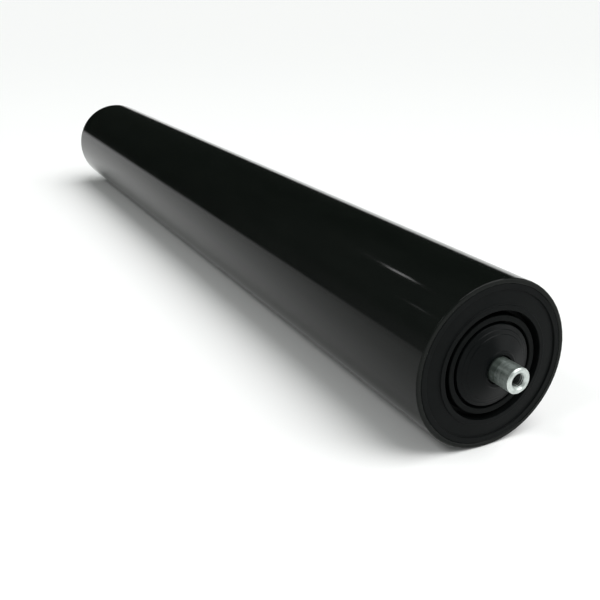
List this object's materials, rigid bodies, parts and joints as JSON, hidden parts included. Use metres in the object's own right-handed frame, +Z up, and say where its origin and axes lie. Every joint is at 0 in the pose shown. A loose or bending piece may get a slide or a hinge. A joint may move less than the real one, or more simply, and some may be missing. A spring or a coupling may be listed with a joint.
{
  "type": "conveyor roller",
  "caption": "Plastic conveyor roller whose tube turns on sealed ball bearings round a fixed spindle with tapped ends, with a labyrinth seal and dust cap at each end.",
  "frame": {"origin": "centre of the roller, on its axis and halfway between the two rims of the tube", "axes": "+Y along the roller's axis from the front end to the rear end, +Z up, where the circlips' gaps point, +X to the right"},
  "size_m": [0.133, 1.105, 0.133],
  "materials": {
    "tube": "gloss black extruded plastic",
    "end_cap": "satin black moulded plastic",
    "labyrinth_ring": "satin black moulded plastic",
    "dust_cap": "satin black moulded plastic",
    "spindle": "bright drawn steel with turned ends",
    "bearing_ring": "ground bearing steel",
    "ball": "polished bearing steel",
    "cage": "pressed steel sheet",
    "circlip": "phosphated spring steel",
    "rubber": "black nitrile rubber"
  },
  "bodies": {
    "spindle": {"spindle": "spindle", "front_inner_ring": "bearing_ring", "front_circlip": "circlip", "front_dust_cap": "dust_cap", "rear_inner_ring": "bearing_ring", "rear_circlip": "circlip", "rear_dust_cap": "dust_cap"},
    "shell": {"tube": "tube", "front_end_cap": "end_cap", "front_outer_ring": "bearing_ring", "front_bearing_seal_outer": "rubber", "front_bearing_seal_inner": "rubber", "front_labyrinth_ring": "labyrinth_ring", "front_inner_seal": "rubber", "rear_end_cap": "end_cap", "rear_outer_ring": "bearing_ring", "rear_bearing_seal_outer": "rubber", "rear_bearing_seal_inner": "rubber", "rear_labyrinth_ring": "labyrinth_ring", "rear_inner_seal": "rubber"},
    "front_cage": {"front_balls": "ball", "front_cage_outer": "cage", "front_cage_inner": "cage", "front_cage_rivets": "cage"},
    "rear_cage": {"rear_balls": "ball", "rear_cage_outer": "cage", "rear_cage_inner": "cage", "rear_cage_rivets": "cage"}
  },
  "joints": [
    {"name": "shell_spin", "type": "hinge", "parent": "spindle", "child": "shell", "pos_m": [0, 0, 0], "axis": [0, 1, 0], "continuous": true},
    {"name": "front_cage_spin", "type": "hinge", "parent": "spindle", "child": "front_cage", "pos_m": [0, -0.504, 0], "axis": [0, 1, 0], "continuous": true},
    {"name": "rear_cage_spin", "type": "hinge", "parent": "spindle", "child": "rear_cage", "pos_m": [0, 0.504, 0], "axis": [0, 1, 0], "continuous": true}
  ],
  "couplings": [
    {"joint": "front_cage_spin", "follows": "shell_spin", "ratio": 0.61851},
    {"joint": "rear_cage_spin", "follows": "shell_spin", "ratio": 0.61851}
  ]
}
